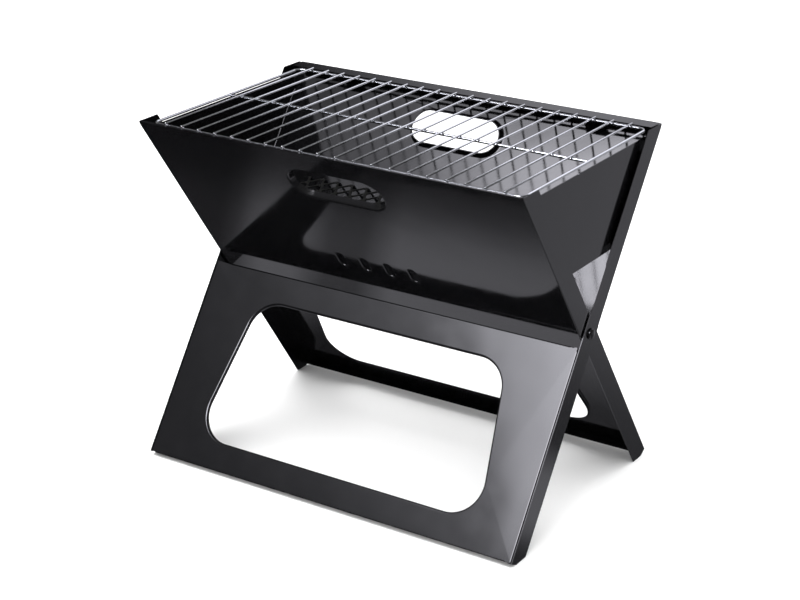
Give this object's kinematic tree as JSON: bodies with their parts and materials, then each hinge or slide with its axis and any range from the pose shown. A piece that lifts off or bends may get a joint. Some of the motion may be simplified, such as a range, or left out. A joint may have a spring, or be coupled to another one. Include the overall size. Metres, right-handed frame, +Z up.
{
  "type": "folding camp grill",
  "caption": "Folding charcoal grill: two crossed black sheet-metal frames riveted at the sides, sloping fire walls, drop-in end plates and a chromed wire cooking grid.",
  "frame": {"origin": "on the ground, midway between the feet and below the pivot line", "axes": "+X along the pivot line, which is the grill's length; +Z up; the front, with the vent slots, faces -Y"},
  "size_m": [0.4574, 0.2966, 0.377],
  "materials": {
    "black_enamel": "gloss black high-temperature enamel",
    "chromed_wire": "bright chrome plating",
    "zinc_steel": "zinc plated",
    "grate_steel": "black coated expanded steel"
  },
  "bodies": {
    "outer_frame": {"rear_fire_wall": "black_enamel", "front_leg_panel": "black_enamel", "rear_grid_rest_left": "black_enamel", "rear_grid_rest_right": "black_enamel", "pivot_rivet_left": "black_enamel", "pivot_rivet_right": "black_enamel", "pivot_spacer_left": "zinc_steel", "pivot_spacer_right": "zinc_steel", "pivot_washer_left": "zinc_steel", "pivot_washer_right": "zinc_steel"},
    "inner_frame": {"front_fire_wall": "black_enamel", "rear_leg_panel": "black_enamel", "front_grid_rest_left": "black_enamel", "front_grid_rest_right": "black_enamel"},
    "cooking_grid": {"grid_frame_wire": "chromed_wire", "grid_cross_wire": "chromed_wire", "grid_bar_01": "chromed_wire", "grid_bar_02": "chromed_wire", "grid_bar_03": "chromed_wire", "grid_bar_04": "chromed_wire", "grid_bar_05": "chromed_wire", "grid_bar_06": "chromed_wire", "grid_bar_07": "chromed_wire", "grid_bar_08": "chromed_wire", "grid_bar_09": "chromed_wire", "grid_bar_10": "chromed_wire", "grid_bar_11": "chromed_wire", "grid_bar_12": "chromed_wire", "grid_bar_13": "chromed_wire", "grid_bar_14": "chromed_wire", "grid_bar_15": "chromed_wire", "grid_bar_16": "chromed_wire", "grid_bar_17": "chromed_wire", "grid_bar_18": "chromed_wire", "grid_bar_19": "chromed_wire", "grid_bar_20": "chromed_wire"},
    "charcoal_grate": {"charcoal_grate": "grate_steel"},
    "end_plate_left": {"end_plate_left": "black_enamel"},
    "end_plate_right": {"end_plate_right": "black_enamel"}
  },
  "joints": [
    {"name": "frame_fold", "type": "hinge", "parent": "outer_frame", "child": "inner_frame", "pos_m": [0, 0, 0.194], "axis": [-1, 0, 0], "range_deg": [0, 69.5]},
    {"name": "grid_lift", "type": "slide", "parent": "outer_frame", "child": "cooking_grid", "axis": [0, 0, 1], "range_m": [0, 0.74]},
    {"name": "grate_lift", "type": "slide", "parent": "outer_frame", "child": "charcoal_grate", "axis": [0, 0, 1], "range_m": [0, 0.68]},
    {"name": "left_plate_lift", "type": "slide", "parent": "outer_frame", "child": "end_plate_left", "axis": [0, 0, 1], "range_m": [0, 0.68]},
    {"name": "right_plate_lift", "type": "slide", "parent": "outer_frame", "child": "end_plate_right", "axis": [0, 0, 1], "range_m": [0, 0.68]}
  ],
  "couplings": [
    {"joint": "grid_lift", "follows": "frame_fold", "m_per_rad": 0.6},
    {"joint": "grate_lift", "follows": "frame_fold", "m_per_rad": 0.55},
    {"joint": "left_plate_lift", "follows": "frame_fold", "m_per_rad": 0.55},
    {"joint": "right_plate_lift", "follows": "frame_fold", "m_per_rad": 0.55}
  ]
}
